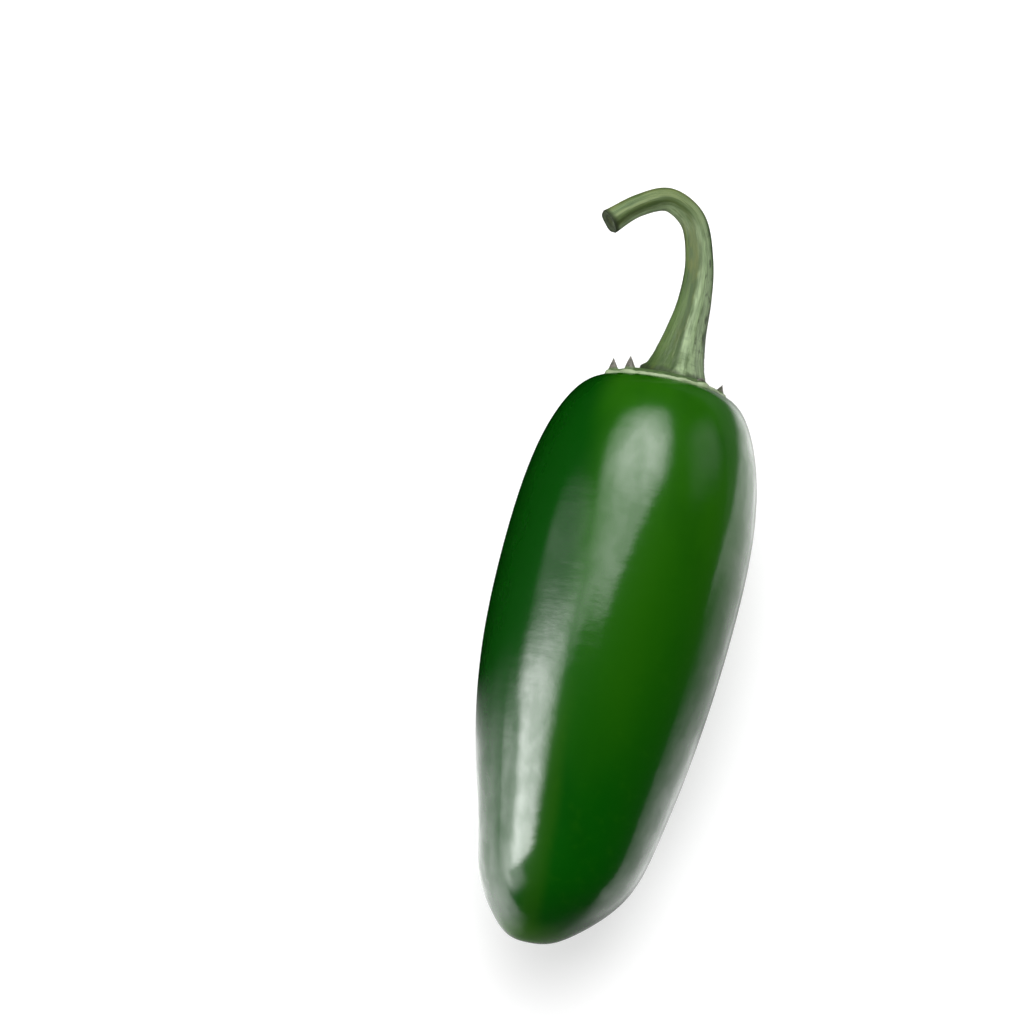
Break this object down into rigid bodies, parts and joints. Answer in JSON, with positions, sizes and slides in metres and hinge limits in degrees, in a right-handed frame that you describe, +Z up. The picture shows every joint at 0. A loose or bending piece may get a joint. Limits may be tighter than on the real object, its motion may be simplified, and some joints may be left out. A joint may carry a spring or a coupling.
{
  "type": "chilli pepper",
  "caption": "Whole green jalapeño chilli pepper lying on its side: a glossy blunt tapering pod with a toothed calyx and a hooked green stem.",
  "frame": {"origin": "middle of the small flat spot on the pod's underside, where it rests", "axes": "+Y along the pod from the tip to the stem, +Z up from the surface it lies on, +X to the right seen from above with the stem away"},
  "size_m": [0.0327, 0.1006, 0.0321],
  "materials": {
    "pod": "glossy waxy green skin",
    "calyx": "satin pale green, dry at the rim",
    "stem": "satin green, ribbed"
  },
  "bodies": {
    "root": {"pod": "pod", "calyx": "calyx", "stem": "stem"}
  },
  "joints": []
}
